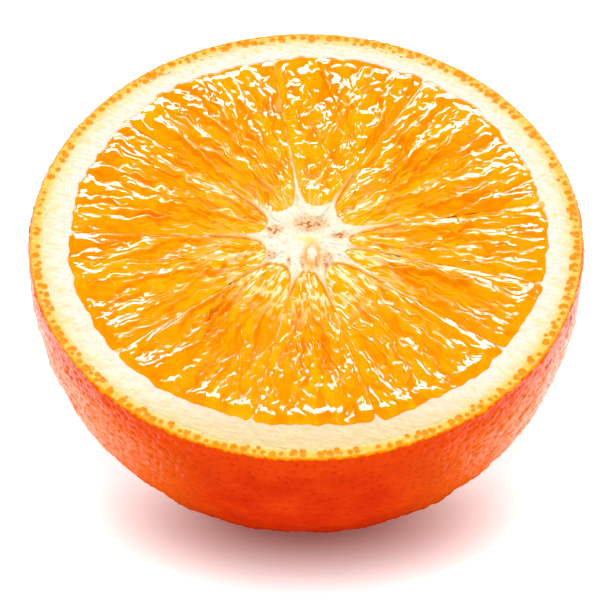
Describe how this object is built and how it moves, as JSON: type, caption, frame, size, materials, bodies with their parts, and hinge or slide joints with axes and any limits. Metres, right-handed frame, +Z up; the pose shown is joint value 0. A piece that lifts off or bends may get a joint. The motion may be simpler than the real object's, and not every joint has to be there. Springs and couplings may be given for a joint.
{
  "type": "orange half",
  "caption": "Half a ripe orange, cut across its segments and resting on its skin, with the juicy cut face up: peel, white pith, flesh between thin membranes and a spongy core.",
  "frame": {"origin": "middle of the small flat spot that the fruit rests on, at the bottom of its skin", "axes": "+Z up, square to the cut face; -Y is the front and +X the right-hand side"},
  "size_m": [0.08, 0.08, 0.0413],
  "materials": {
    "peel": "waxy, pebbled with fine pores",
    "pith": "matte, spongy and slightly moist",
    "flesh": "wet and translucent"
  },
  "bodies": {
    "root": {"orange_half": "peel"}
  },
  "joints": []
}
